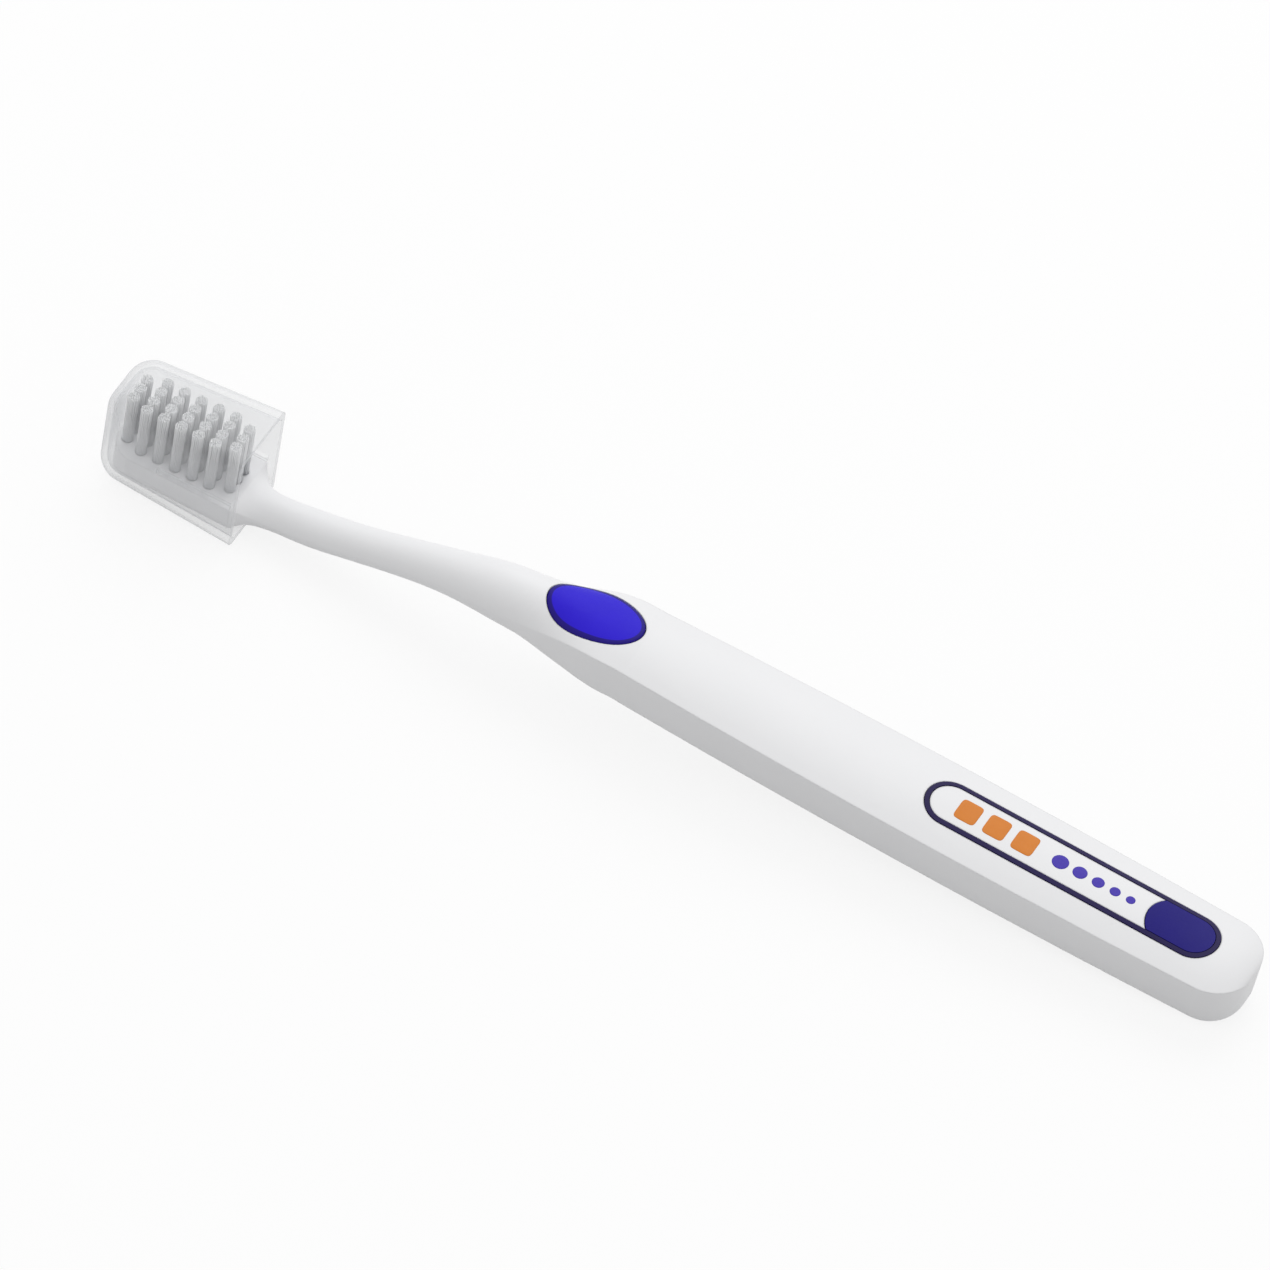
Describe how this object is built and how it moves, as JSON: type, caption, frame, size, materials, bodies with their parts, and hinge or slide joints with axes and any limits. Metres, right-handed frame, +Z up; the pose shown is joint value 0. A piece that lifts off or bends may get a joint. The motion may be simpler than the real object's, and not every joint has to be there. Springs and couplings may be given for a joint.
{
  "type": "manual toothbrush",
  "caption": "Slim white manual toothbrush with bristle tufts, a blue thumb pad and a frosted slip-on cap over the head.",
  "frame": {"origin": "middle of the underside of the brush's box, on the surface that the brush lies on", "axes": "+Z up, the way the bristles point; +X along the brush from the head to the tail; +Y across it"},
  "size_m": [0.1686, 0.0144, 0.0162],
  "materials": {
    "white_plastic": "white polypropylene moulding, smooth with a soft gloss",
    "blue_elastomer": "saturated blue soft elastomer, satin",
    "navy_elastomer": "dark navy soft elastomer, satin",
    "nylon_filament": "pale grey white nylon filaments with rounded ends",
    "anchor_metal": "bare stamped strip",
    "frosted_plastic": "frosted see-through polypropylene, thin wall"
  },
  "bodies": {
    "brush": {"end_insert": "blue_elastomer", "handle": "white_plastic", "label_ring": "navy_elastomer", "thumb_insert": "blue_elastomer", "tuft_01": "nylon_filament", "tuft_02": "nylon_filament", "tuft_03": "nylon_filament", "tuft_04": "nylon_filament", "tuft_05": "nylon_filament", "tuft_06": "nylon_filament", "tuft_07": "nylon_filament", "tuft_08": "nylon_filament", "tuft_09": "nylon_filament", "tuft_10": "nylon_filament", "tuft_11": "nylon_filament", "tuft_12": "nylon_filament", "tuft_13": "nylon_filament", "tuft_14": "nylon_filament", "tuft_15": "nylon_filament", "tuft_16": "nylon_filament", "tuft_17": "nylon_filament", "tuft_18": "nylon_filament", "tuft_19": "nylon_filament", "tuft_20": "nylon_filament", "tuft_21": "nylon_filament", "tuft_22": "nylon_filament", "tuft_23": "nylon_filament", "tuft_24": "nylon_filament", "tuft_25": "nylon_filament", "tuft_26": "nylon_filament", "tuft_anchors": "anchor_metal"},
    "cap": {"protective_cap": "frosted_plastic"}
  },
  "joints": [
    {"name": "cap_slide", "type": "slide", "parent": "brush", "child": "cap", "axis": [-1, 0, 0], "range_m": [0, 0.026]}
  ]
}
